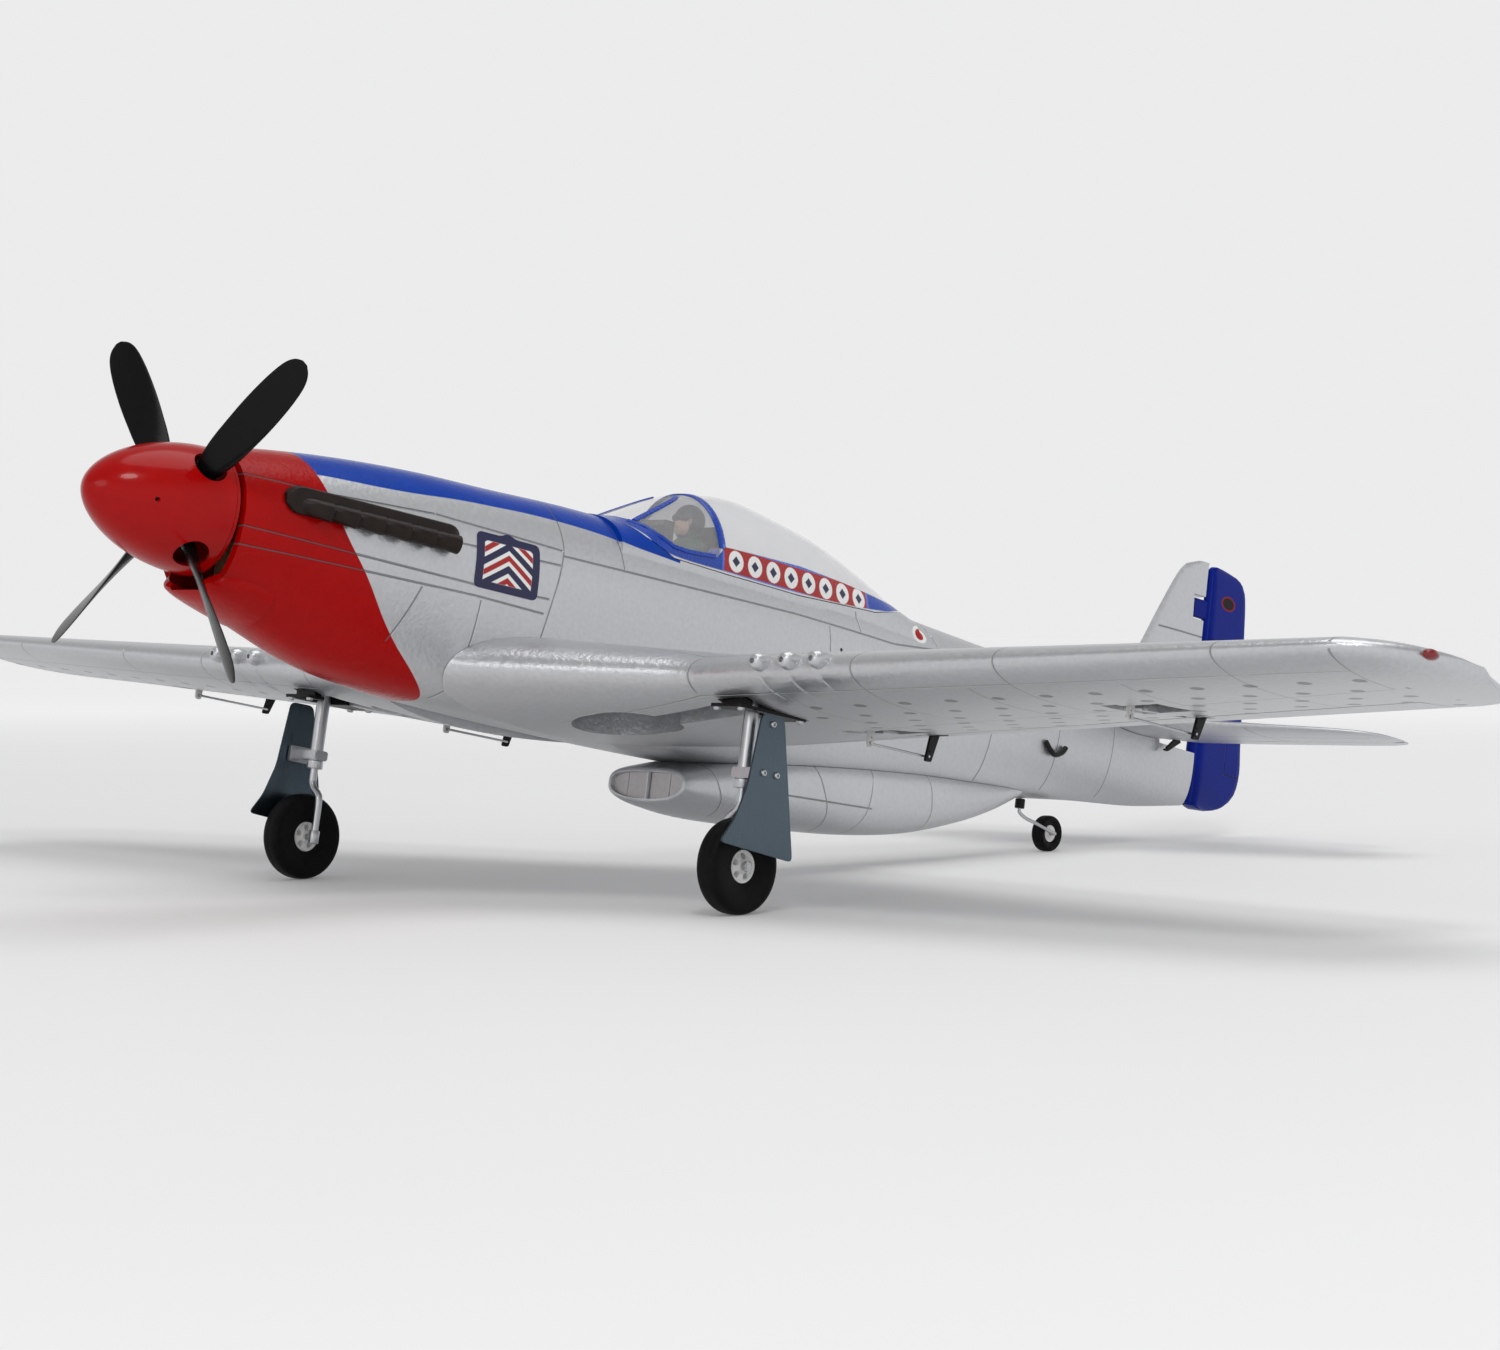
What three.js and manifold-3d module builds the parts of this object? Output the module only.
// Radio-controlled warbird plane, 1200 mm span, standing on its main wheels and tail wheel.
// Millimetres. The aeroplane is drawn in its own axes: x to port, y aft from the spinner tip,
// z up from the thrust line. The last section tips it nose up on to the ground.
import * as THREE from 'three';
import { mergeVertices } from 'three/addons/utils/BufferGeometryUtils.js';
import Module from 'manifold-3d';

const wasm = await Module();
wasm.setup();

// ---------- driving dimensions ----------
const GAP = 0.3;
const HALF_SPAN = 600;
const WING_SWEEP = 0.052;
const WING_TAPER = 0.199;
const ROOT_LEADING_Y = 232;
const ROOT_KINK_X = 165;
const ROOT_X = 48;
const SKIN = 5;
const SPINNER_LENGTH = 72;
const SPINNER_RADIUS = 35;
const BLADE_PLANE = 58;
const BLADE_TIP_RADIUS = 118;
const BLADE_PHASE = 37.8;
const COWL_FRONT = 77.5;
const PIVOT = new THREE.Vector3(184, 325, -47);
const RETRACT_ANGLE = THREE.MathUtils.degToRad(84);
const MAIN_HUB = new THREE.Vector3(187, 325, -149);
const MAIN_WHEEL_RADIUS = 26.5;
const MAIN_WHEEL_WIDTH = 14;
const TAIL_HUB = new THREE.Vector3(0, 830.5, -71);
const TAIL_WHEEL_RADIUS = 12.5;
const TAIL_STEER_Y = 797;
const RUDDER_HINGE_Y = 987;
const ELEVATOR_HINGE_Y = 940;
const STAB_Z = 16;
const STAB_HALF_SPAN = 213;
const AILERON = { inner: 310, outer: 545, linkX: 394, armLength: 14.7, servoY: 386 };
const FLAP = { inner: 54, outer: 306, linkX: 182, armLength: 20, servoY: 427 };

// Fuselage stations: y, top, bottom, half width, height of the widest line, top and bottom fullness.
const FUSELAGE = [
  [77.5, 36.5, -45.5, 36, 0, 2.0, 2.2],
  [109, 42.2, -56, 39, 0, 2.1, 2.2],
  [156, 48, -69.5, 42, -2, 2.2, 2.3],
  [208, 52, -75, 45, -4, 2.3, 2.6],
  [261, 53.8, -76.5, 47.5, -5, 2.3, 3.4],
  [330, 56.5, -77.5, 48.5, -6, 2.3, 4],
  [430, 56, -77.5, 48.5, -6, 2.3, 4],
  [500, 55, -76, 47, -6, 2.3, 3.6],
  [560, 53, -72, 44.5, -5, 2.3, 3],
  [650, 48.2, -64, 38, -4, 2.2, 2.6],
  [750, 43.5, -56, 31, -3, 2.1, 2.4],
  [850, 42, -45, 22.5, -1, 2.1, 2.3],
  [920, 40, -39, 16, 0, 2.1, 2.2],
  [982, 33, -30, 9, 1, 2, 2.2],
];
// Canopy and windscreen top line: y, top, half width at its foot.
const CANOPY_FOOT = 30;
const CANOPY = [
  [350, 57, 41], [366, 59, 41], [398, 73.7, 41], [418, 82, 41], [439, 87, 41], [466, 90, 40.5],
  [504, 86, 39], [544, 79.5, 37], [585, 67, 34.5], [617, 54.6, 32.5], [636, 49, 31],
];
// Wing tip outline beyond the straight edges: x, leading edge y, trailing edge y.
const WING_TIP = [
  [560, 311.1, 451.6], [573, 319, 446], [584, 331, 437], [592, 346, 426], [597.5, 362, 412], [HALF_SPAN, 384, 396],
];

// ---------- solid helpers ----------
function solidOf(geometry) {
  const bare = geometry.clone();
  bare.deleteAttribute('normal');
  bare.deleteAttribute('uv');
  const merged = mergeVertices(bare, 1e-4);
  return new wasm.Manifold(new wasm.Mesh({
    numProp: 3,
    vertProperties: new Float32Array(merged.attributes.position.array),
    triVerts: new Uint32Array(merged.index.array),
  }));
}

function geometryOf(solid) {
  const mesh = solid.getMesh();
  const geometry = new THREE.BufferGeometry();
  geometry.setAttribute('position', new THREE.BufferAttribute(mesh.vertProperties, 3));
  geometry.setIndex(new THREE.BufferAttribute(mesh.triVerts, 1));
  geometry.computeVertexNormals();
  return geometry;
}

function join(...solids) {
  return solids.reduce((all, next) => all.add(next));
}

function cut(body, ...tools) {
  return tools.reduce((rest, tool) => rest.subtract(tool), body);
}

// A closed body through rings of equal point count; each end is capped from its centre.
function loft(rings) {
  const count = rings[0].length;
  const positions = rings.flat().flatMap((point) => [point.x, point.y, point.z]);
  const index = [];
  for (let ring = 0; ring + 1 < rings.length; ring += 1) {
    for (let i = 0; i < count; i += 1) {
      const a = ring * count + i;
      const b = ring * count + ((i + 1) % count);
      index.push(a, b, a + count, b, b + count, a + count);
    }
  }
  for (const end of [0, rings.length - 1]) {
    const centre = new THREE.Vector3();
    rings[end].forEach((point) => centre.add(point));
    centre.divideScalar(count);
    const hub = positions.length / 3;
    positions.push(centre.x, centre.y, centre.z);
    for (let i = 0; i < count; i += 1) {
      const a = end * count + i;
      const b = end * count + ((i + 1) % count);
      if (end === 0) index.push(hub, b, a);
      else index.push(hub, a, b);
    }
  }
  const geometry = new THREE.BufferGeometry();
  geometry.setAttribute('position', new THREE.Float32BufferAttribute(positions, 3));
  geometry.setIndex(index);
  const solid = solidOf(geometry);
  if (solid.volume() > 0) return solid;
  for (let i = 0; i < index.length; i += 3) [index[i], index[i + 1]] = [index[i + 1], index[i]];
  geometry.setIndex(index);
  return solidOf(geometry);
}

function box(x0, x1, y0, y1, z0, z1) {
  const geometry = new THREE.BoxGeometry(x1 - x0, y1 - y0, z1 - z0);
  geometry.translate((x0 + x1) / 2, (y0 + y1) / 2, (z0 + z1) / 2);
  return solidOf(geometry);
}

// Round rod between two points, with its own radius at each end.
function rod(from, to, radiusFrom, radiusTo = radiusFrom, sides = 10) {
  const along = new THREE.Vector3().subVectors(to, from);
  const geometry = new THREE.CylinderGeometry(radiusTo, radiusFrom, along.length(), sides);
  geometry.translate(0, along.length() / 2, 0);
  const turn = new THREE.Quaternion().setFromUnitVectors(new THREE.Vector3(0, 1, 0), along.normalize());
  geometry.applyQuaternion(turn);
  geometry.translate(from.x, from.y, from.z);
  return solidOf(geometry);
}

function point(x, y, z) {
  return new THREE.Vector3(x, y, z);
}

// Turned body: profile of [radius, height] pairs, its axis laid along x, y or z.
function turned(profile, axis, centre, sides = 20) {
  const geometry = new THREE.LatheGeometry(profile.map(([r, h]) => new THREE.Vector2(r, h)), sides);
  if (axis === 'x') geometry.rotateZ(-Math.PI / 2);
  if (axis === 'z') geometry.rotateX(Math.PI / 2);
  geometry.translate(centre.x, centre.y, centre.z);
  const solid = solidOf(geometry);
  if (solid.volume() > 0) return solid;
  const index = geometry.index.array;
  for (let i = 0; i < index.length; i += 3) [index[i], index[i + 1]] = [index[i + 1], index[i]];
  return solidOf(geometry);
}

// Outline in the y-z plane, pushed out along x from x0 to x1.
function sidePlate(outline, x0, x1) {
  const shape = new THREE.Shape(outline.map(([y, z]) => new THREE.Vector2(y, z)));
  const geometry = new THREE.ExtrudeGeometry(shape, { depth: x1 - x0, bevelEnabled: false });
  geometry.applyMatrix4(new THREE.Matrix4().set(0, 0, 1, x0, 1, 0, 0, 0, 0, 1, 0, 0, 0, 0, 0, 1));
  return solidOf(geometry);
}

// Outline in the x-y plane, pushed up along z from z0 to z1.
function planPlate(outline, z0, z1) {
  const shape = new THREE.Shape(outline.map(([x, y]) => new THREE.Vector2(x, y)));
  const geometry = new THREE.ExtrudeGeometry(shape, { depth: z1 - z0, bevelEnabled: false });
  geometry.translate(0, 0, z0);
  return solidOf(geometry);
}

// Wire of round section along a smooth path.
function wire(points, radius, steps, sides = 8) {
  const outline = new THREE.Shape();
  outline.absarc(0, 0, radius, 0, Math.PI * 2);
  const path = new THREE.CatmullRomCurve3(points, false, 'centripetal');
  const geometry = new THREE.ExtrudeGeometry(outline, {
    steps, curveSegments: sides / 2, bevelEnabled: false, extrudePath: path,
  });
  return solidOf(geometry);
}

function mirrored(solid) {
  return solid.mirror([1, 0, 0]);
}

function turnedAbout(solid, pivot, angle) {
  const degrees = THREE.MathUtils.radToDeg(angle);
  const centred = solid.translate([-pivot.x, -pivot.y, -pivot.z]);
  return centred.rotate([0, degrees, 0]).translate([pivot.x, pivot.y, pivot.z]);
}

// Smooth value of one table column at a station, the first column being the station.
function along(table, station, column) {
  let i = 0;
  while (i < table.length - 2 && station > table[i + 1][0]) i += 1;
  const span = table[i + 1][0] - table[i][0];
  const slope = (a, b) => (table[b][column] - table[a][column]) / (table[b][0] - table[a][0]);
  const enter = i === 0 ? slope(0, 1) : slope(i - 1, i + 1);
  const leave = i + 2 === table.length ? slope(i, i + 1) : slope(i, i + 2);
  const t = THREE.MathUtils.clamp((station - table[i][0]) / span, 0, 1);
  return (2 * t ** 3 - 3 * t ** 2 + 1) * table[i][column] + (t ** 3 - 2 * t ** 2 + t) * span * enter
    + (3 * t ** 2 - 2 * t ** 3) * table[i + 1][column] + (t ** 3 - t ** 2) * span * leave;
}

// ---------- sub-part list ----------
const model = new THREE.Group();

function part(name, solid, color, roughness = 0.6, metalness = 0) {
  const material = new THREE.MeshStandardMaterial({ color, roughness, metalness });
  const mesh = new THREE.Mesh(geometryOf(solid), material);
  mesh.name = name;
  model.add(mesh);
}

function pair(name, solid, color, roughness, metalness) {
  part(`${name}_left`, solid, color, roughness, metalness);
  part(`${name}_right`, mirrored(solid), color, roughness, metalness);
}

const SILVER = '#b9bcc0';
const RED = '#c81414';
const BLUE = '#1d4fb4';
const BLACK = '#17181a';
const STEEL = '#8d9398';
const WHITE = '#e4e6e8';
const PLYWOOD = '#caa46a';

// ---------- fuselage loft ----------
function fuselageRing(y, inset, sides) {
  const [top, bottom, half, wide, fullTop, fullBottom] = [1, 2, 3, 4, 5, 6].map((c) => along(FUSELAGE, y, c));
  return Array.from({ length: sides }, (_, i) => {
    const angle = (i / sides) * Math.PI * 2;
    const [c, s] = [Math.cos(angle), Math.sin(angle)];
    const full = s >= 0 ? fullTop : fullBottom;
    const tall = s >= 0 ? top - wide - inset : wide - bottom - inset;
    const x = (half - inset) * Math.sign(c) * Math.abs(c) ** (2 / full);
    return point(x, y, wide + tall * Math.sign(s) * Math.abs(s) ** (2 / full));
  });
}

function fuselageLoft(stations, inset, sides) {
  return loft(stations.map((y) => fuselageRing(y, inset, sides)));
}

const HULL_STATIONS = [
  COWL_FRONT, 92, 109, 130, 156, 182, 208, 235, 261, 295, 330, 380, 430, 465, 500, 530, 560, 605, 650, 700, 750, 800,
  850, 885, 920, 950, 982,
];
const HOLLOW_STATIONS = [70, 90, 109, 156, 208, 261, 330, 430, 500, 560, 650, 750, 790];

function canopyRing(y, inset, sides) {
  const top = along(CANOPY, y, 1) - inset;
  const half = along(CANOPY, y, 2) - inset;
  const full = 2.2;
  return Array.from({ length: sides }, (_, i) => {
    const angle = (i / (sides - 1)) * Math.PI;
    const [c, s] = [Math.cos(angle), Math.sin(angle)];
    const x = half * Math.sign(c) * Math.abs(c) ** (2 / full);
    return point(x, y, CANOPY_FOOT + (top - CANOPY_FOOT) * Math.abs(s) ** (2 / full));
  });
}

function canopyLoft(inset, from, to) {
  const inner = CANOPY.map(([y]) => y).filter((y) => y > from && y < to);
  return loft([from, ...inner, to].map((y) => canopyRing(y, inset, 13)));
}

const hull = join(fuselageLoft(HULL_STATIONS, 0, 20), canopyLoft(0, 350, 636));
const hullGrown = fuselageLoft(HULL_STATIONS, -GAP, 20);

// ---------- hatch: the lift-off canopy section ----------
// Side view outlines: lower edge of the hatch, and lower edge of its clear moulding.
const HATCH_LINE = [[349, 62], [372, 46], [393, 37.5], [440, 36.5], [507, 36.5], [586, 40.5], [640, 51.5]];
const GLASS_LINE = [[364, 60], [393, 43], [430, 45], [437, 53], [508, 55], [556, 53], [600, 50], [640, 49]];
const COCKPIT = { half: 27, front: 385, rear: 598, floor: 43 };
const PILOT = { y: 441, headZ: 70 };

function above(line, lift) {
  return sidePlate([...line.map(([y, z]) => [y, z + lift]), [line.at(-1)[0], 120], [line[0][0], 120]], -60, 60);
}

const hatchBlank = hull.intersect(above(HATCH_LINE, GAP));
const cockpitBay = box(-COCKPIT.half, COCKPIT.half, COCKPIT.front, COCKPIT.rear, COCKPIT.floor, 100);
const glassRegion = above(GLASS_LINE, 0);
const hatchFrame = cut(hatchBlank, glassRegion, cockpitBay);
part('hatch_frame', hatchFrame, BLUE, 0.35);
const glass = cut(canopyLoft(0, 364.5, 636), canopyLoft(1.2, 360, 628));
part('canopy_glass', glass.intersect(above(GLASS_LINE, GAP)).intersect(above(HATCH_LINE, GAP)), WHITE, 0.1);
part('cockpit_tub', join(
  box(
    GAP - COCKPIT.half, COCKPIT.half - GAP, COCKPIT.front + GAP, COCKPIT.rear - GAP,
    COCKPIT.floor + GAP, COCKPIT.floor + 1.6,
  ),
  box(-24, 24, 402, 406, 44, 60),
  sidePlate([[396, 59], [408, 59], [408, 63], [400, 63]], -22, 22),
  box(-13, 13, PILOT.y - 11, PILOT.y + 17, 44, 46.5),
  box(-13, 13, PILOT.y + 15, PILOT.y + 19, 44, 70),
), BLACK, 0.7);
const pilotHead = turned(
  [[0, -11], [6, -9.5], [9.6, -4], [10.2, 2], [8.4, 8], [4.5, 11], [0, 12]], 'z', point(0, PILOT.y, PILOT.headZ), 10,
);
const pilotTorso = loft([
  [47, 11, 6], [52, 15, 8], [56, 15.5, 7.5], [59, 10, 6], [61, 5, 5], [64, 4.6, 4.6],
].map(([z, wide, deep]) => Array.from({ length: 10 }, (_, i) => {
  const angle = (i / 10) * Math.PI * 2;
  return point(wide * Math.cos(angle), PILOT.y + 2 + deep * Math.sin(angle), z);
})));
part('pilot_figure', join(pilotHead, pilotTorso), '#26402f', 0.8);

// ---------- wing ----------
function wingEdges(x) {
  const straight = x < ROOT_KINK_X
    ? ROOT_LEADING_Y + (x - ROOT_X) * (282 + WING_SWEEP * ROOT_KINK_X - ROOT_LEADING_Y) / (ROOT_KINK_X - ROOT_X)
    : 282 + WING_SWEEP * x;
  if (x <= WING_TIP[0][0]) return [straight, 563 - WING_TAPER * x];
  return [along(WING_TIP, x, 1), along(WING_TIP, x, 2)];
}

function wingThickness(x) {
  if (x < ROOT_KINK_X) return 0.16 - 0.01 * (x - ROOT_X) / (ROOT_KINK_X - ROOT_X);
  return 0.15 - 0.025 * (x - ROOT_KINK_X) / (HALF_SPAN - ROOT_KINK_X);
}

const leadingZ = (x) => -57 + 0.052 * x;
const trailingZ = (x) => -50 + 0.029 * x;

function halfSection(c) {
  return 5 * (0.2969 * Math.sqrt(c) - 0.126 * c - 0.3516 * c ** 2 + 0.2843 * c ** 3 - 0.1036 * c ** 4);
}

function aerofoilRing(x, front, rear, zFront, zRear, thickness, steps, shrink = 0) {
  const chord = rear - front;
  const ring = [];
  for (let i = 0; i < 2 * steps; i += 1) {
    const c = (1 + Math.cos((i / steps) * Math.PI)) / 2;
    const half = Math.max(halfSection(c) * thickness * chord - shrink, 0.25) * (i < steps ? 1 : -1);
    ring.push(point(x, front + c * chord, zFront + (zRear - zFront) * c + (c === 0 ? 0 : half)));
  }
  ring.push(ring.shift());
  return ring;
}

const WING_STATIONS = [24, 48, 90, 130, 160, 172, 220, 284, 350, 430, 500, 560, 573, 584, 592, 597.5, HALF_SPAN];
const wingBlank = loft(WING_STATIONS.map((x) => {
  const [front, rear] = wingEdges(x);
  return aerofoilRing(x, front, rear, leadingZ(x), trailingZ(x), wingThickness(x), 8);
}));

const HINGE_ROOM = 1.1;
const END_ROOM = 0.6;
const hingeY = (x) => 509 - 0.163 * x;
function hingePoint(x) {
  const [front, rear] = wingEdges(x);
  const c = (hingeY(x) - front) / (rear - front);
  return point(x, hingeY(x), leadingZ(x) + (trailingZ(x) - leadingZ(x)) * c);
}
function hingeRadius(x) {
  const [front, rear] = wingEdges(x);
  return halfSection((hingeY(x) - front) / (rear - front)) * wingThickness(x) * (rear - front) - 0.15;
}
// Everything aft of the hinge; slant widens the inner end, which moves inboard as the surface swings.
function behindHinge({ inner, outer }, margin, slant = 0) {
  const [a, b] = [inner - margin, outer + margin];
  return planPlate([[a, hingeY(a)], [b, hingeY(b)], [b, 640], [a - slant, 640]], -110, 20);
}
// Rounded front of a control surface; it bends where the wing's leading edge does.
function hingeRod({ inner, outer }, margin, grow, sides) {
  const stations = [inner - margin, ...[ROOT_KINK_X].filter((x) => x > inner), outer + margin];
  return join(...stations.slice(1).map((x, i) => rod(
    hingePoint(stations[i]), hingePoint(x), hingeRadius(stations[i]) + grow, hingeRadius(x) + grow, sides,
  )));
}
// Point a given distance below the hinge line, where the pushrod is pinned.
function hornPin({ linkX, armLength }) {
  return hingePoint(linkX).add(point(0, 0, -armLength));
}
function hornPlate(surface) {
  const hinge = hingePoint(surface.linkX);
  const tip = hinge.z - surface.armLength - 3;
  const outline = [
    [hinge.y - 2.5, tip], [hinge.y + 2.5, tip], [hinge.y + 9, hinge.z - 2], [hinge.y + 1, hinge.z - 2],
  ];
  const hole = rod(hornPin(surface).add(point(-5, 0, 0)), hornPin(surface).add(point(5, 0, 0)), 1.1, 1.1, 8);
  return cut(sidePlate(outline, surface.linkX - 0.9, surface.linkX + 0.9), hole);
}
// Notch in the wing's lower skin that the horn swings into.
function hornGroove(surface) {
  const hinge = hingePoint(surface.linkX);
  return box(hinge.x - 5, hinge.x + 2, hinge.y - 15, hinge.y + 2, -110, hinge.z - 3);
}
function controlSurface(surface) {
  const body = join(wingBlank.intersect(behindHinge(surface, -0.5)), hingeRod(surface, -0.5, 0, 12));
  return join(body, hornPlate(surface));
}

// Servo lying on its side in the wing; its arm hangs below the skin beside the horn's plane.
function servoPivot(surface) {
  return point(surface.linkX, surface.servoY, hingePoint(surface.linkX).z);
}
function servoBody(surface) {
  const pivot = servoPivot(surface);
  return join(
    box(pivot.x + 3.4, pivot.x + 24, pivot.y - 6, pivot.y + 17, pivot.z - 6, pivot.z + 6),
    box(pivot.x + 7, pivot.x + 9, pivot.y - 10.5, pivot.y + 21.5, pivot.z - 6, pivot.z + 6),
    rod(point(pivot.x + 1.7, pivot.y, pivot.z), point(pivot.x + 4, pivot.y, pivot.z), 2.6, 2.6, 12),
  );
}
function servoPocket(surface) {
  const pivot = servoPivot(surface);
  const swing = surface.armLength + 2;
  const aftOfHinge = hingeY(surface.linkX) + 2;
  const roof = pivot.z - surface.armLength * Math.cos(0.7) + 2;
  return join(
    box(pivot.x + 2.6, pivot.x + 25, pivot.y - 11.5, pivot.y + 22.5, -110, pivot.z + 7),
    box(pivot.x - 7.4, pivot.x + 3, pivot.y - swing, pivot.y + 8, -110, pivot.z + 5),
    box(pivot.x - 7.4, pivot.x + 1.5, pivot.y, aftOfHinge, -110, roof),
  );
}
function servoArm(surface) {
  const pivot = servoPivot(surface);
  const tip = pivot.z - surface.armLength;
  const plate = sidePlate([
    [pivot.y - 3.4, pivot.z + 2.8], [pivot.y + 3.4, pivot.z + 2.8],
    [pivot.y + 2.2, tip - 2], [pivot.y - 2.2, tip - 2],
  ], pivot.x - 0.9, pivot.x + 0.9);
  return cut(plate, rod(point(pivot.x - 3, pivot.y, tip), point(pivot.x + 3, pivot.y, tip), 1.1, 1.1, 8));
}
// Wire with both ends cranked through the arm's hole and the horn's hole.
function pushrod(surface) {
  const front = servoPivot(surface).add(point(0, 0, -surface.armLength));
  const rear = hornPin(surface);
  const side = -2.6;
  return join(
    rod(point(front.x + side, front.y - 1, front.z), point(rear.x + side, rear.y + 1, rear.z), 0.8, 0.8, 8),
    rod(point(front.x + side, front.y, front.z), point(front.x + 1.3, front.y, front.z), 0.7, 0.7, 8),
    rod(point(rear.x + side, rear.y, rear.z), point(rear.x + 1.3, rear.y, rear.z), 0.7, 0.7, 8),
  );
}

// ---------- main undercarriage, drawn down on the port side ----------
const LEG_X = PIVOT.x;
const AXLE_LEG_X = MAIN_HUB.x - MAIN_WHEEL_WIDTH / 2 - 4.6;
const DOOR_X = 201.4;
const DOOR = [[314, -66], [332, -66], [352, -143], [293, -139], [302, -126], [309, -107]];
const SLEEVE_END = -106;

function centred(outline, grow) {
  const count = outline.length;
  const middle = outline.reduce(([y, z], [py, pz]) => [y + py / count, z + pz / count], [0, 0]);
  return outline.map(([y, z]) => [y + Math.sign(y - middle[0]) * grow, z + Math.sign(z - middle[1]) * grow]);
}

const upperLeg = cut(join(
  rod(point(LEG_X, PIVOT.y - 12.5, PIVOT.z), point(LEG_X, PIVOT.y + 12.5, PIVOT.z), 2, 2, 8),
  box(LEG_X - 5, LEG_X + 5, PIVOT.y - 8, PIVOT.y + 8, PIVOT.z - 8, PIVOT.z + 5),
  rod(point(LEG_X, PIVOT.y, PIVOT.z - 6), point(LEG_X, PIVOT.y, SLEEVE_END), 4.2, 4.2, 10),
  box(LEG_X - 6, DOOR_X - 2.4, PIVOT.y - 5, PIVOT.y + 5, -101, -95),
  box(DOOR_X - 3.6, DOOR_X - GAP, PIVOT.y - 9, PIVOT.y + 9, -103, -93),
), rod(point(LEG_X, PIVOT.y, -70), point(LEG_X, PIVOT.y, SLEEVE_END - 5), 2.9, 2.9, 8));
const lowerLeg = join(
  rod(point(LEG_X, PIVOT.y, -86), point(LEG_X, PIVOT.y, -114), 2.5, 2.5, 8),
  wire([
    point(LEG_X, PIVOT.y, -112), point(LEG_X, PIVOT.y, -115), point(AXLE_LEG_X + 2, PIVOT.y, -120),
    point(AXLE_LEG_X, PIVOT.y, -124), point(AXLE_LEG_X, PIVOT.y, MAIN_HUB.z),
  ], 2.3, 9, 8),
  rod(point(AXLE_LEG_X, PIVOT.y, MAIN_HUB.z + 4), point(AXLE_LEG_X, PIVOT.y, MAIN_HUB.z - 4), 3.4, 3.4, 8),
  rod(point(AXLE_LEG_X, PIVOT.y, MAIN_HUB.z), point(MAIN_HUB.x + 8.6, PIVOT.y, MAIN_HUB.z), 1.6, 1.6, 8),
);
const gearDoor = sidePlate(DOOR, DOOR_X, DOOR_X + 1.2);

function tyre(radius, width, bore) {
  const half = width / 2;
  return [
    [bore, -half * 0.7], [radius * 0.82, -half], [radius * 0.94, -half * 0.8], [radius, -half * 0.2],
    [radius, half * 0.2], [radius * 0.94, half * 0.8], [radius * 0.82, half], [bore, half * 0.7], [bore, -half * 0.7],
  ];
}
const HUB_RADIUS = 9.2;
const hubHoles = [0, 1, 2, 3, 4].map((i) => {
  const angle = (i / 5) * Math.PI * 2;
  const [y, z] = [MAIN_HUB.y + 5.6 * Math.sin(angle), MAIN_HUB.z + 5.6 * Math.cos(angle)];
  return rod(point(MAIN_HUB.x - 10, y, z), point(MAIN_HUB.x + 10, y, z), 1.5, 1.5, 6);
});
const mainHub = cut(turned([
  [1.9, -5.4], [HUB_RADIUS, -4], [HUB_RADIUS, 4], [1.9, 5.4], [1.9, -5.4],
], 'x', MAIN_HUB, 16), ...hubHoles);
const mainTyre = turned(tyre(MAIN_WHEEL_RADIUS, MAIN_WHEEL_WIDTH, HUB_RADIUS + GAP), 'x', MAIN_HUB, 24);

const PLATE_Z = -62.6;
const retractUnit = cut(join(
  box(LEG_X - 12, LEG_X + 12, 303, 358, PLATE_Z - 1.8, PLATE_Z),
  box(LEG_X - 9, LEG_X + 9, PIVOT.y - 15, PIVOT.y - 10, PLATE_Z - 0.1, PIVOT.z + 6),
  box(LEG_X - 9, LEG_X + 9, PIVOT.y + 10, PIVOT.y + 31, PLATE_Z - 0.1, PIVOT.z + 6),
),
box(LEG_X - 20, LEG_X + 6.5, PIVOT.y - 9.4, PIVOT.y + 9.4, PLATE_Z - 6, PLATE_Z + 2),
rod(point(LEG_X, PIVOT.y - 20, PIVOT.z), point(LEG_X, PIVOT.y + 14, PIVOT.z), 2.3, 2.3, 8),
);

// Space that the leg, wheel and door fill when they are folded into the wing.
const STRUT_TRAVEL = 8;
const wheelSpace = rod(
  point(MAIN_HUB.x - 12.5, MAIN_HUB.y, MAIN_HUB.z), point(MAIN_HUB.x + 60, MAIN_HUB.y, MAIN_HUB.z), 29, 29, 20,
);
const foldedSpace = turnedAbout(join(
  wheelSpace, wheelSpace.translate([0, 0, STRUT_TRAVEL + 0.5]),
  box(AXLE_LEG_X - 5, LEG_X + 60, PIVOT.y - 5, PIVOT.y + 5, MAIN_HUB.z - 6, -104),
  box(LEG_X - 9, LEG_X + 60, PIVOT.y - 10.5, PIVOT.y + 10.5, -130, PIVOT.z - 4),
  sidePlate(centred(DOOR, 1.5), DOOR_X - 1, DOOR_X + 60),
), PIVOT, RETRACT_ANGLE);
const retractPocket = join(
  box(LEG_X - 12.6, LEG_X + 12.6, 302.4, 358.6, -110, PLATE_Z + GAP),
  box(LEG_X - 11, LEG_X + 11, 308, 357, -110, PIVOT.z + 8),
);

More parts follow.
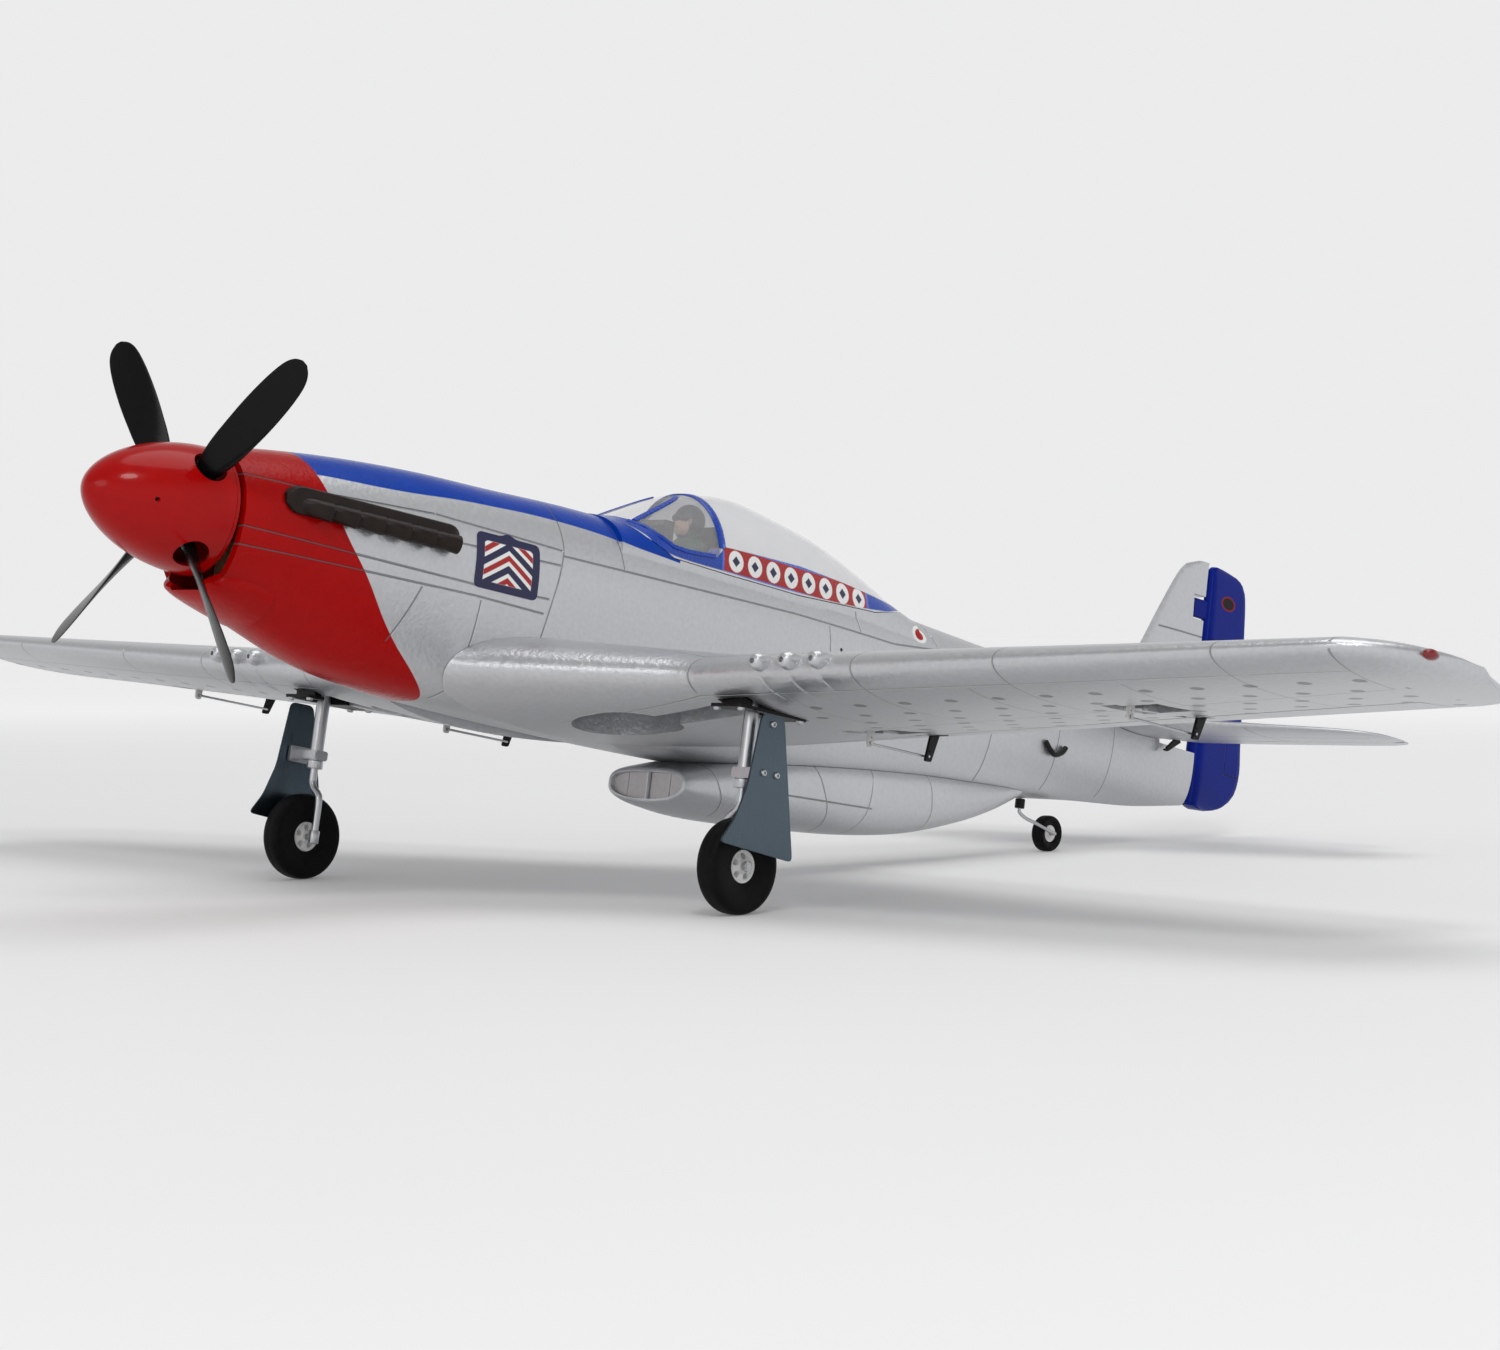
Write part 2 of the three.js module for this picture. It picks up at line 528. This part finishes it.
// ---------- wing panels ----------
const SPAR = { y: 400, z: -46, radius: 6, half: 172 };
const sparHole = rod(
  point(-SPAR.half - 4, SPAR.y, SPAR.z), point(SPAR.half + 4, SPAR.y, SPAR.z), SPAR.radius + GAP,
);
const gunBumps = [216, 236, 256].map((x) => turned(
  [[0, -17], [3.6, -15.5], [5.2, -11], [5, -4], [3.6, 8], [0, 24]], 'y',
  point(x, wingEdges(x)[0] + 10, leadingZ(x) + 4), 12,
));
const wingPanel = cut(
  join(wingBlank, ...gunBumps), hullGrown, sparHole,
  behindHinge(AILERON, END_ROOM, 3.5), hingeRod(AILERON, END_ROOM, HINGE_ROOM, 24),
  behindHinge(FLAP, END_ROOM, 7), hingeRod(FLAP, END_ROOM, HINGE_ROOM, 24),
  rod(hingePoint(ROOT_KINK_X - 3), hingePoint(ROOT_KINK_X + 3), hingeRadius(ROOT_KINK_X) + HINGE_ROOM + 0.5),
  hornGroove(AILERON), hornGroove(FLAP), servoPocket(AILERON), servoPocket(FLAP), foldedSpace, retractPocket, box(-60, 30, 200, 600, -110, 20),
);
pair('wing', wingPanel, SILVER, 0.35, 0.4);
pair('aileron', controlSurface(AILERON), SILVER, 0.35, 0.4);
pair('flap', cut(controlSurface(FLAP), hullGrown), SILVER, 0.35, 0.4);
part('spar_tube', cut(
  rod(point(-SPAR.half, SPAR.y, SPAR.z), point(SPAR.half, SPAR.y, SPAR.z), SPAR.radius),
  rod(point(-SPAR.half - 1, SPAR.y, SPAR.z), point(SPAR.half + 1, SPAR.y, SPAR.z), SPAR.radius - 1),
), BLACK, 0.4);
for (const [name, surface] of [['aileron', AILERON], ['flap', FLAP]]) {
  pair(`${name}_servo`, servoBody(surface), BLACK, 0.5);
  pair(`${name}_servo_arm`, servoArm(surface), WHITE, 0.5);
  pair(`${name}_pushrod`, pushrod(surface), STEEL, 0.3, 0.9);
}
pair('retract_unit', retractUnit, BLACK, 0.5);
pair('upper_leg', upperLeg, STEEL, 0.3, 0.9);
pair('lower_leg', lowerLeg, STEEL, 0.3, 0.9);
pair('gear_door', gearDoor, STEEL, 0.35, 0.9);
pair('main_hub', mainHub, WHITE, 0.5);
pair('main_tyre', mainTyre, BLACK, 0.8);

// ---------- propeller, spinner and motor ----------
function spinnerRadius(y, radius, length) {
  return radius * (1 - (1 - y / length) ** 2) ** 0.6;
}
function spinnerProfile(radius, length, start, steps) {
  const rows = Array.from({ length: steps + 1 }, (_, i) => {
    const y = length * (1 - Math.cos((i / steps) * Math.PI / 2));
    return [spinnerRadius(y, radius, length), start + y];
  });
  return [...rows, [0, start + length]];
}
function bladeAxis(index) {
  const angle = THREE.MathUtils.degToRad(BLADE_PHASE + 90 * index);
  return point(Math.cos(angle), 0, Math.sin(angle));
}
// Blade sections: radius, chord, thickness, pitch in degrees.
const BLADE = [
  [14.3, 9, 9, 62], [24, 10, 8.6, 60], [34, 15, 6.6, 56], [46, 18.5, 4.8, 50], [60, 20, 3.8, 44], [76, 21, 3, 38],
  [92, 20.5, 2.4, 33], [104, 18.5, 2, 30], [111, 15.5, 1.6, 28], [115.5, 10.5, 1.3, 27], [BLADE_TIP_RADIUS, 4, 1, 27],
];
function blade(index) {
  const out = bladeAxis(index);
  const onward = point(-out.z, 0, out.x);
  return loft(BLADE.map(([radius, chord, thick, pitch]) => {
    const tilt = THREE.MathUtils.degToRad(pitch);
    const lead = onward.clone().multiplyScalar(Math.cos(tilt)).add(point(0, -Math.sin(tilt), 0));
    const face = onward.clone().multiplyScalar(-Math.sin(tilt)).add(point(0, -Math.cos(tilt), 0));
    return Array.from({ length: 8 }, (_, i) => {
      const angle = (i / 8) * Math.PI * 2;
      return out.clone().multiplyScalar(radius).add(point(0, BLADE_PLANE, 0))
        .addScaledVector(lead, (chord / 2) * Math.cos(angle)).addScaledVector(face, (thick / 2) * Math.sin(angle));
    });
  }));
}
const bladeSlots = [0, 1, 2, 3].map((index) => {
  const out = bladeAxis(index);
  const [from, to] = [20, 50].map((r) => out.clone().multiplyScalar(r).add(point(0, BLADE_PLANE, 0)));
  return rod(from, to, 9.6, 9.6, 10);
});
part('spinner_cone', cut(
  turned(spinnerProfile(SPINNER_RADIUS, SPINNER_LENGTH, 0, 8), 'y', point(0, 0, 0), 28),
  turned(spinnerProfile(SPINNER_RADIUS - 1.6, SPINNER_LENGTH, 2.4, 5), 'y', point(0, 0, 0), 16),
  ...bladeSlots,
), RED, 0.2);
const BACKPLATE_FRONT = SPINNER_LENGTH + GAP;
part('propeller_hub', join(
  turned(
    [[3.2, BACKPLATE_FRONT], [34.6, BACKPLATE_FRONT], [34.6, 75], [3.2, 75], [3.2, BACKPLATE_FRONT]],
    'y', point(0, 0, 0), 24,
  ),
  turned([[3.2, 48], [14, 48], [14, 73], [3.2, 73], [3.2, 48]], 'y', point(0, 0, 0), 12),
), RED, 0.25);
for (let index = 0; index < 4; index += 1) part(`propeller_blade_${index + 1}`, blade(index), BLACK, 0.35);
part('propeller_nut', turned(
  [[3.6, 41], [6.6, 41], [6.6, 47.7], [3.6, 47.7], [3.6, 41]], 'y', point(0, 0, 0), 6,
), STEEL, 0.3, 0.9);
part('motor_rotor', join(
  rod(point(0, 38, 0), point(0, 82, 0), 2.9, 2.9, 8),
  turned([[0, 80], [17.4, 80], [18.4, 82], [18.4, 106], [16.9, 106], [16.9, 83], [0, 83]], 'y', point(0, 0, 0), 16),
), STEEL, 0.3, 0.9);
part('motor_stator', turned(
  [[0, 85], [16.2, 85], [16.2, 107], [18, 107], [18, 112], [0, 112]], 'y', point(0, 0, 0), 24,
), '#7a4a22', 0.5);

// ---------- fuselage shell and tail ----------
// Stabiliser and elevator: x, front edge, rear edge.
const STAB = [
  [0, 861, 975], [60, 870, 974], [120, 880, 969.5], [175, 889.5, 964],
  [196, 897, 959], [208, 909, 951], [212.9, 925, 938],
];
function stabLoft(grow) {
  const half = STAB.map(([x, front, rear]) => ({ x, front, rear }));
  const rows = [...half.slice(1).reverse().map((row) => ({ ...row, x: -row.x })), ...half];
  return loft(rows.map(({ x, front, rear }) => aerofoilRing(
    x, front - grow, rear + grow, STAB_Z, STAB_Z, 0.1 - 0.03 * Math.abs(x) / STAB_HALF_SPAN, 6, -grow,
  )));
}
// Leading edge of the fin: height, y.
const FIN_FRONT = [[47, 870], [56, 898], [80, 914], [112, 933], [142, 953], [149, 963], [151.5, 975]];
function finThickness(z) {
  return THREE.MathUtils.mapLinear(z, 30, 151, 7.5, 3.2);
}
// Flat outline given a rounded section: thick in the middle, thin at its leading edge.
function tailSurface(rows, steps) {
  return loft(rows.map(([z, front, rear]) => {
    const half = finThickness(z);
    return Array.from({ length: 2 * steps }, (_, i) => {
      const t = i < steps ? i / steps : (2 * steps - i) / steps;
      const y = front + (rear - front) * t;
      const reach = Math.sqrt(Math.max(0, 1 - (1 - t) ** 2.4));
      return point((i < steps ? 1 : -1) * Math.max(half * reach, t === 0 ? 0 : 0.2), y, z);
    });
  }));
}
const fin = join(
  tailSurface([20, 50, 56, 80, 96, 112, 127, 142, 147, 150.2].map((z) => [
    z, z < 50 ? 872 : along(FIN_FRONT, z, 1), 984,
  ]), 5),
  loft([[800, 1, 42], [840, 2.4, 45.5], [875, 4, 49], [905, 4.5, 60], [930, 4, 66]].map(([y, wide, top]) => [
    point(wide, y, 30), point(wide, y, top - 4), point(0, y, top), point(-wide, y, top - 4), point(-wide, y, 30),
  ])),
);
const chin = cut(
  loft([[72, 17, -37, -42], [74, 22, -33, -44.5], [79, 26, -27, -47.5], [92, 29, -22, -51.8], [109, 30, -20, -56.2]]
    .map(([y, wide, top, low]) => Array.from({ length: 12 }, (_, i) => {
      const angle = (i / 12) * Math.PI * 2;
      return point(wide * Math.cos(angle), y, (top + low) / 2 + ((top - low) / 2) * Math.sin(angle));
    }))),
  rod(point(0, 50, 0), point(0, COWL_FRONT - 0.5, 0), 36.2, 36.2, 24),
);
const tailNotch = box(-30, 30, 930, 990, STAB_Z - 7, STAB_Z + 7);
const exhaustSeatY = [104, 216];
part('fuselage', cut(
  join(hull, fin, chin),
  fuselageLoft(HOLLOW_STATIONS, SKIN, 12),
  above(HATCH_LINE, -GAP).intersect(box(-60, 60, 340, 641, 30, 100)),
  box(-13, 13, 60, 84, -42.4, -38.4),
  sparHole, stabLoft(GAP), tailNotch,
  box(-12, 12, 968, 990, 107.5, 125.5),
  rod(point(0, TAIL_STEER_Y, -70), point(0, TAIL_STEER_Y, -20), 1.7, 1.7, 8),
), SILVER, 0.35, 0.4);

function exhaustStack() {
  const [front, rear] = exhaustSeatY;
  const side = (y) => along(FUSELAGE, y, 3);
  const base = loft([front - 3, front, ...[125, 145, 165, 185, 205], rear, rear + 3].map((y, i, all) => {
    const end = i === 0 || i === all.length - 1;
    const [half, proud] = end ? [5, 1] : [7.6, 3.2];
    const z = 13;
    const reach = side(y) + proud;
    return [[28, half], [reach, half], [reach + 1, half - 2], [reach + 1, 2 - half], [reach, -half], [28, -half]]
      .map(([x, dz]) => point(x, y, z + dz));
  }));
  const pipes = Array.from({ length: 6 }, (_, i) => {
    const y = front + 14 + i * 17.6;
    return rod(point(side(y) - 4, y - 7, 13), point(side(y) + 6, y + 7.5, 13.5), 4.6, 5.2, 8);
  });
  return cut(join(base, ...pipes), fuselageLoft(HULL_STATIONS.filter((y) => y < 340), -GAP, 20));
}
pair('exhaust_stack', exhaustStack(), '#4a3a2e', 0.5, 0.6);

// Belly scoop: y, half width, top and bottom of each ring.
const SCOOP = [
  [433, 33, -84, -105.5], [440, 34.5, -81.5, -107.5], [466, 36, -74, -110], [500, 36.5, -66, -109.5],
  [539, 36, -60, -107],
  [606, 33.5, -54, -102], [665, 30, -50, -93.5], [714, 26, -48, -80.5], [750, 21, -46, -67.5], [779, 15, -44, -53.5],
];
function scoopRing([y, half, top, bottom], inset) {
  return Array.from({ length: 16 }, (_, i) => {
    const angle = (i / 16) * Math.PI * 2;
    const [c, s] = [Math.cos(angle), Math.sin(angle)];
    const power = s < 0 ? 2 / 2.3 : 2 / 3.4;
    const [x, z] = [Math.sign(c) * Math.abs(c) ** power, Math.sign(s) * Math.abs(s) ** power];
    return point((half - inset) * x, y, (top + bottom) / 2 + ((top - bottom) / 2 - inset) * z);
  });
}
const scoopDuct = cut(
  loft([[428, 33, -84, -105.5], [470, 33.5, -83, -107], [520, 30, -84, -104]].map((row) => scoopRing(row, 2.4))),
  box(-1.1, 1.1, 434, 530, -115, -70),
);
part('belly_scoop', cut(loft(SCOOP.map((row) => scoopRing(row, 0))), scoopDuct, hullGrown), SILVER, 0.35, 0.4);

const stabChord = (x) => STAB[0][2] - STAB[0][1] - 0.28 * x;
const elevatorNose = (x) => halfSection(0.69) * (0.1 - 0.03 * x / STAB_HALF_SPAN) * stabChord(x);
function elevatorRod(from, to, grow) {
  return rod(point(from, ELEVATOR_HINGE_Y, STAB_Z), point(to, ELEVATOR_HINGE_Y, STAB_Z),
    elevatorNose(from) + grow, elevatorNose(to) + grow, 10);
}
const stabWhole = stabLoft(0);
const behindStab = box(-230, 230, ELEVATOR_HINGE_Y, 1000, -10, 40);
part('stabiliser', cut(
  stabWhole, behindStab, elevatorRod(12, 214, 0.6), mirrored(elevatorRod(12, 214, 0.6)),
  box(-17, 17, 931, 1000, -10, 40), box(18.4, 21.6, 934, 941, -10, 13.4),
), SILVER, 0.35, 0.4);
const elevatorHalf = cut(
  join(stabWhole.intersect(box(18, 230, ELEVATOR_HINGE_Y, 1000, -10, 40)), elevatorRod(18, 203, 0)),
  box(203, 214, 925, ELEVATOR_HINGE_Y + 3, -10, 40),
);
const ELEVATOR_HORN = { x: 20, pinY: 931, pinZ: 5.5 };
const elevatorHorn = cut(
  sidePlate([[928.5, 3.5], [932.5, 3], [948, 12], [942, 14.5]], ELEVATOR_HORN.x - 0.9, ELEVATOR_HORN.x + 0.9),
  rod(point(15, ELEVATOR_HORN.pinY, ELEVATOR_HORN.pinZ), point(25, ELEVATOR_HORN.pinY, ELEVATOR_HORN.pinZ), 1, 1, 8),
);
part('elevator', join(
  elevatorHalf, mirrored(elevatorHalf), elevatorHorn,
  rod(point(-20, ELEVATOR_HINGE_Y + 2, STAB_Z), point(20, ELEVATOR_HINGE_Y + 2, STAB_Z), 1.6, 1.6, 8),
), SILVER, 0.35, 0.4);

// Rudder: z, front edge, rear edge; the front is a round nose on the hinge line.
const RUDDER = [
  [-30, 1000, 1012], [-28, 990, 1024], [-24, 988, 1036], [-14, 988, 1049], [3, 988, 1054], [22, 988, 1052],
  [60, 988, 1048], [104, 988, 1042], [134, 988, 1038], [143, 988, 1033], [147.5, 988, 1024], [150, 992, 1008],
];
const rudderHalf = (z) => THREE.MathUtils.mapLinear(z, -30, 150, 6.2, 3.2);
const RUDDER_STEPS = [0, 0.12, 0.5, 0.96, 1, 0.96, 0.5, 0.12];
const rudderBlade = loft(RUDDER.map(([z, front, rear]) => RUDDER_STEPS.map((t, i) => {
  const side = i === 0 || i === 4 ? 0 : Math.sign(4 - i);
  const thick = { 0: 0, 0.12: 1, 0.5: 0.72, 0.96: 0.14, 1: 0 }[t];
  return point(side * rudderHalf(z) * thick, front + (rear - front) * t, z);
})));
part('rudder', join(
  rudderBlade,
  rod(point(0, RUDDER_HINGE_Y + 3, -27), point(0, RUDDER_HINGE_Y + 3, 147), 4.4, 2.6, 8),
  box(-1.9, 1.9, 971.5, 992, 109.5, 123.5),
), BLUE, 0.35);

// ---------- tail wheel ----------
const TAIL_SIDE = 6.6;
part('tail_leg', join(
  rod(point(0, TAIL_STEER_Y, -36), point(0, TAIL_STEER_Y, -60), 1.2, 1.2, 6),
  wire([
    point(0, TAIL_STEER_Y, -58), point(0, TAIL_STEER_Y, -61), point(2, 800, -64), point(TAIL_SIDE, 808, -66.5),
    point(TAIL_SIDE, TAIL_HUB.y, TAIL_HUB.z),
  ], 1.2, 9, 6),
  rod(point(TAIL_SIDE + 0.9, TAIL_HUB.y, TAIL_HUB.z), point(-6.2, TAIL_HUB.y, TAIL_HUB.z), 1.2, 1.2, 6),
), STEEL, 0.3, 0.9);
part('tail_wheel', join(
  turned(tyre(TAIL_WHEEL_RADIUS, 9, 5.6), 'x', TAIL_HUB, 18),
  turned([[1.5, -3.4], [6, -2.4], [6, 2.4], [1.5, 3.4], [1.5, -3.4]], 'x', TAIL_HUB, 12),
), BLACK, 0.8);

// ---------- equipment inside the fuselage ----------
const cavity = fuselageLoft(HOLLOW_STATIONS, SKIN + GAP, 12);
part('motor_mount', cavity.intersect(box(-60, 60, 112 + GAP, 117, -80, 60)), PLYWOOD, 0.8);
part('battery_tray', join(box(-30, 30, 210, 520, -27, -24), box(-25, 25, 215, 350, -24.1, -23)), PLYWOOD, 0.8);
part('battery', box(-17, 17, 360, 465, -24 + GAP, 4), '#24324f', 0.5);
part('speed_controller', box(-15, 15, 150, 205, -20, -8), '#1f2a44', 0.5);
part('receiver', box(-12, 12, 470, 510, -24 + GAP, -9), BLACK, 0.6);
for (const [name, x] of [['elevator_servo', 12], ['rudder_servo', -12]]) {
  part(name, join(
    box(x - 6, x + 6, 560, 583, -30, -8),
    box(x - 6, x + 6, 555.5, 587.5, -14, -12),
    rod(point(x, 566, -9), point(x, 566, -4), 2.5, 2.5, 12),
  ), BLACK, 0.5);
}

// ---------- standing on the ground ----------
const reachBack = TAIL_HUB.y - MAIN_HUB.y;
const riseBack = TAIL_HUB.z - MAIN_HUB.z;
const stance = Math.asin((MAIN_WHEEL_RADIUS - TAIL_WHEEL_RADIUS) / Math.hypot(reachBack, riseBack))
  + Math.atan2(riseBack, reachBack);
const lift = MAIN_HUB.y * Math.sin(stance) - MAIN_HUB.z * Math.cos(stance) + MAIN_WHEEL_RADIUS;
const MIDDLE_Y = 522.6;
model.rotation.x = -stance;
model.position.set(0, -MIDDLE_Y, lift);

const plane = new THREE.Group();
plane.add(model);
export default plane;
